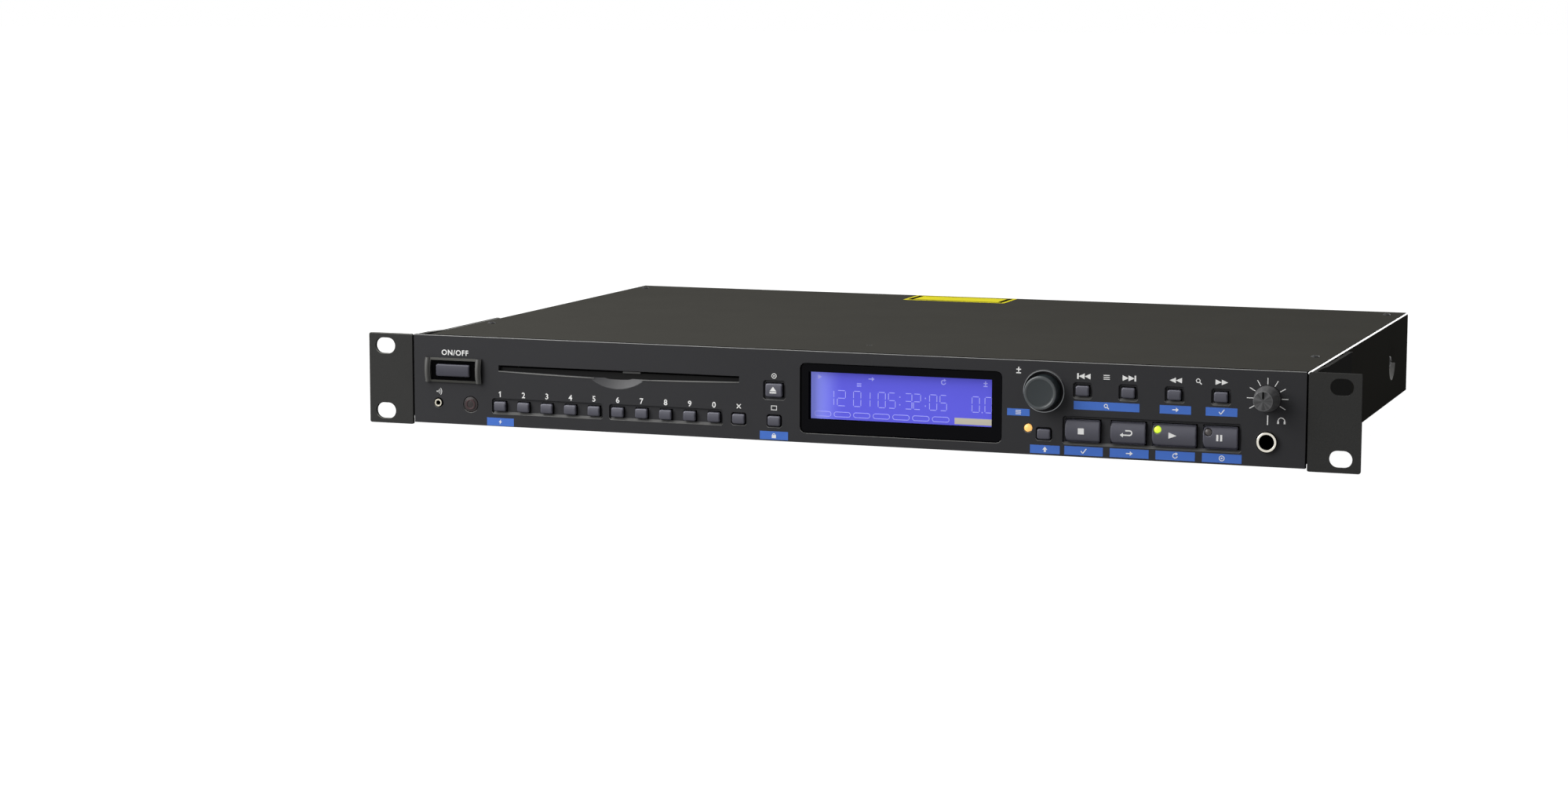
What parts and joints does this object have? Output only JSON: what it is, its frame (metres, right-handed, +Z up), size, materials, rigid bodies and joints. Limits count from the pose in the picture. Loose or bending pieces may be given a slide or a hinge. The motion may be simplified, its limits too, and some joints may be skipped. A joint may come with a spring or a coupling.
{
  "type": "cd player",
  "caption": "Flat slot-loading disc player for a rack, with ears, a blue display, a keypad, large transport keys, a pitch dial, a level knob and a disc loader inside.",
  "frame": {"origin": "middle of the bounding box, on the surface the player stands on", "axes": "+X to the right as seen from the front, +Y from the front panel to the back, +Z up"},
  "size_m": [0.4826, 0.3074, 0.044],
  "materials": {
    "paint": "satin powder coat",
    "cover_paint": "satin powder coat",
    "moulding": "satin moulding",
    "key_plastic": "satin",
    "black_plastic": "satin",
    "zinc": "zinc plated sheet",
    "steel": "bright steel",
    "nickel": "nickel plate",
    "knob_metal": "turned and dyed",
    "board": "solder resist",
    "supply": "board with a wound core and a heat sink",
    "rubber": "ground",
    "white_plastic": "satin",
    "sensor": "polished, lets infrared through",
    "pane": "polished, smoked",
    "screen": "back-lit",
    "amber": "lit",
    "lime": "lit",
    "umber": "unlit"
  },
  "bodies": {
    "casing": {"base_pan": "zinc", "rear_panel": "paint", "top_cover": "cover_paint", "front_panel": "moulding", "left_rack_ear": "paint", "right_rack_ear": "paint", "power_key_bezel": "black_plastic", "remote_jack": "nickel", "sensor_window": "sensor", "display_window": "pane", "display_module": "screen", "shift_lamp": "amber", "play_lamp": "lime", "pause_lamp": "umber", "headphone_jack": "nickel", "front_board": "board", "main_board": "board", "power_supply": "supply", "mains_inlet": "black_plastic", "balanced_output_left": "nickel", "balanced_output_right": "nickel", "phono_jacks": "nickel", "control_socket": "steel", "loader_frame": "zinc", "disc_guide": "black_plastic", "spindle_motor": "steel"},
    "power_key_body": {"power_key": "key_plastic"},
    "key_1_body": {"key_1": "key_plastic"},
    "key_2_body": {"key_2": "key_plastic"},
    "key_3_body": {"key_3": "key_plastic"},
    "key_4_body": {"key_4": "key_plastic"},
    "key_5_body": {"key_5": "key_plastic"},
    "key_6_body": {"key_6": "key_plastic"},
    "key_7_body": {"key_7": "key_plastic"},
    "key_8_body": {"key_8": "key_plastic"},
    "key_9_body": {"key_9": "key_plastic"},
    "key_0_body": {"key_0": "key_plastic"},
    "clear_key_body": {"clear_key": "key_plastic"},
    "eject_key_body": {"eject_key": "key_plastic"},
    "display_key_body": {"display_key": "key_plastic"},
    "shift_key_body": {"shift_key": "key_plastic"},
    "skip_back_key_body": {"skip_back_key": "key_plastic"},
    "skip_forward_key_body": {"skip_forward_key": "key_plastic"},
    "search_back_key_body": {"search_back_key": "key_plastic"},
    "search_forward_key_body": {"search_forward_key": "key_plastic"},
    "stop_key_body": {"stop_key": "key_plastic"},
    "call_key_body": {"call_key": "key_plastic"},
    "play_key_body": {"play_key": "key_plastic"},
    "pause_key_body": {"pause_key": "key_plastic"},
    "dial_shaft_body": {"dial_shaft": "steel"},
    "pitch_dial_body": {"pitch_dial": "black_plastic"},
    "level_knob_body": {"level_knob": "knob_metal"},
    "turntable_body": {"turntable": "rubber"},
    "clamp_arm_body": {"clamp_arm": "zinc"},
    "disc_clamp_body": {"disc_clamp": "white_plastic"},
    "roller_arm_body": {"roller_arm": "zinc"},
    "feed_roller_body": {"feed_roller": "rubber"},
    "pickup_sled_body": {"pickup_sled": "black_plastic"},
    "sled_gear_body": {"sled_gear": "white_plastic"}
  },
  "joints": [
    {"name": "power_key_push", "type": "slide", "parent": "casing", "child": "power_key_body", "axis": [0, 1, 0], "range_m": [0, 0.003], "stiffness_N_per_m": 200},
    {"name": "key_1_push", "type": "slide", "parent": "casing", "child": "key_1_body", "axis": [0, 1, 0], "range_m": [0, 0.0005], "stiffness_N_per_m": 200},
    {"name": "key_2_push", "type": "slide", "parent": "casing", "child": "key_2_body", "axis": [0, 1, 0], "range_m": [0, 0.0005], "stiffness_N_per_m": 200},
    {"name": "key_3_push", "type": "slide", "parent": "casing", "child": "key_3_body", "axis": [0, 1, 0], "range_m": [0, 0.0005], "stiffness_N_per_m": 200},
    {"name": "key_4_push", "type": "slide", "parent": "casing", "child": "key_4_body", "axis": [0, 1, 0], "range_m": [0, 0.0005], "stiffness_N_per_m": 200},
    {"name": "key_5_push", "type": "slide", "parent": "casing", "child": "key_5_body", "axis": [0, 1, 0], "range_m": [0, 0.0005], "stiffness_N_per_m": 200},
    {"name": "key_6_push", "type": "slide", "parent": "casing", "child": "key_6_body", "axis": [0, 1, 0], "range_m": [0, 0.0005], "stiffness_N_per_m": 200},
    {"name": "key_7_push", "type": "slide", "parent": "casing", "child": "key_7_body", "axis": [0, 1, 0], "range_m": [0, 0.0005], "stiffness_N_per_m": 200},
    {"name": "key_8_push", "type": "slide", "parent": "casing", "child": "key_8_body", "axis": [0, 1, 0], "range_m": [0, 0.0005], "stiffness_N_per_m": 200},
    {"name": "key_9_push", "type": "slide", "parent": "casing", "child": "key_9_body", "axis": [0, 1, 0], "range_m": [0, 0.0005], "stiffness_N_per_m": 200},
    {"name": "key_0_push", "type": "slide", "parent": "casing", "child": "key_0_body", "axis": [0, 1, 0], "range_m": [0, 0.0005], "stiffness_N_per_m": 200},
    {"name": "clear_key_push", "type": "slide", "parent": "casing", "child": "clear_key_body", "axis": [0, 1, 0], "range_m": [0, 0.0005], "stiffness_N_per_m": 200},
    {"name": "eject_key_push", "type": "slide", "parent": "casing", "child": "eject_key_body", "axis": [0, 1, 0], "range_m": [0, 0.0005], "stiffness_N_per_m": 200},
    {"name": "display_key_push", "type": "slide", "parent": "casing", "child": "display_key_body", "axis": [0, 1, 0], "range_m": [0, 0.0005], "stiffness_N_per_m": 200},
    {"name": "shift_key_push", "type": "slide", "parent": "casing", "child": "shift_key_body", "axis": [0, 1, 0], "range_m": [0, 0.0005], "stiffness_N_per_m": 200},
    {"name": "skip_back_key_push", "type": "slide", "parent": "casing", "child": "skip_back_key_body", "axis": [0, 1, 0], "range_m": [0, 0.0005], "stiffness_N_per_m": 200},
    {"name": "skip_forward_key_push", "type": "slide", "parent": "casing", "child": "skip_forward_key_body", "axis": [0, 1, 0], "range_m": [0, 0.0005], "stiffness_N_per_m": 200},
    {"name": "search_back_key_push", "type": "slide", "parent": "casing", "child": "search_back_key_body", "axis": [0, 1, 0], "range_m": [0, 0.0005], "stiffness_N_per_m": 200},
    {"name": "search_forward_key_push", "type": "slide", "parent": "casing", "child": "search_forward_key_body", "axis": [0, 1, 0], "range_m": [0, 0.0005], "stiffness_N_per_m": 200},
    {"name": "stop_key_push", "type": "slide", "parent": "casing", "child": "stop_key_body", "axis": [0, 1, 0], "range_m": [0, 0.0008], "stiffness_N_per_m": 200},
    {"name": "call_key_push", "type": "slide", "parent": "casing", "child": "call_key_body", "axis": [0, 1, 0], "range_m": [0, 0.0008], "stiffness_N_per_m": 200},
    {"name": "play_key_push", "type": "slide", "parent": "casing", "child": "play_key_body", "axis": [0, 1, 0], "range_m": [0, 0.0008], "stiffness_N_per_m": 200},
    {"name": "pause_key_push", "type": "slide", "parent": "casing", "child": "pause_key_body", "axis": [0, 1, 0], "range_m": [0, 0.0008], "stiffness_N_per_m": 200},
    {"name": "dial_shaft_push", "type": "slide", "parent": "casing", "child": "dial_shaft_body", "axis": [0, 1, 0], "range_m": [0, 0.0008], "stiffness_N_per_m": 200},
    {"name": "pitch_dial_turn", "type": "hinge", "parent": "dial_shaft_body", "child": "pitch_dial_body", "pos_m": [0.0983, -0.14615, 0.0302], "axis": [0, -1, 0], "continuous": true},
    {"name": "level_knob_turn", "type": "hinge", "parent": "casing", "child": "level_knob_body", "pos_m": [0.1999, -0.14815, 0.0315], "axis": [0, -1, 0], "range_deg": [-135, 135]},
    {"name": "turntable_spin", "type": "hinge", "parent": "casing", "child": "turntable_body", "pos_m": [-0.1104, -0.05115, 0.0231], "axis": [0, 0, 1], "continuous": true},
    {"name": "clamp_arm_lift", "type": "hinge", "parent": "casing", "child": "clamp_arm_body", "pos_m": [-0.1104, 0.02735, 0.0337], "axis": [-1, 0, 0], "range_deg": [0, 3], "stiffness_Nm_per_rad": 0.5, "springref_deg": -5.73},
    {"name": "disc_clamp_spin", "type": "hinge", "parent": "clamp_arm_body", "child": "disc_clamp_body", "pos_m": [-0.1104, -0.05115, 0.0331], "axis": [0, 0, 1], "continuous": true},
    {"name": "roller_arm_drop", "type": "hinge", "parent": "casing", "child": "roller_arm_body", "pos_m": [-0.1104, -0.09115, 0.0201], "axis": [1, 0, 0], "range_deg": [0, 8], "stiffness_Nm_per_rad": 0.5, "springref_deg": -5.73},
    {"name": "feed_roller_spin", "type": "hinge", "parent": "roller_arm_body", "child": "feed_roller_body", "pos_m": [-0.1104, -0.11715, 0.0239], "axis": [1, 0, 0], "continuous": true},
    {"name": "pickup_sled_travel", "type": "slide", "parent": "casing", "child": "pickup_sled_body", "axis": [0, 1, 0], "range_m": [0, 0.029]},
    {"name": "sled_gear_turn", "type": "hinge", "parent": "casing", "child": "sled_gear_body", "pos_m": [-0.069, -0.01415, 0.0161], "axis": [0, 0, 1], "range_deg": [-168, 0]}
  ],
  "couplings": [
    {"joint": "sled_gear_turn", "follows": "pickup_sled_travel", "rad_per_m": -100},
    {"joint": "disc_clamp_spin", "follows": "turntable_spin", "ratio": 1}
  ]
}
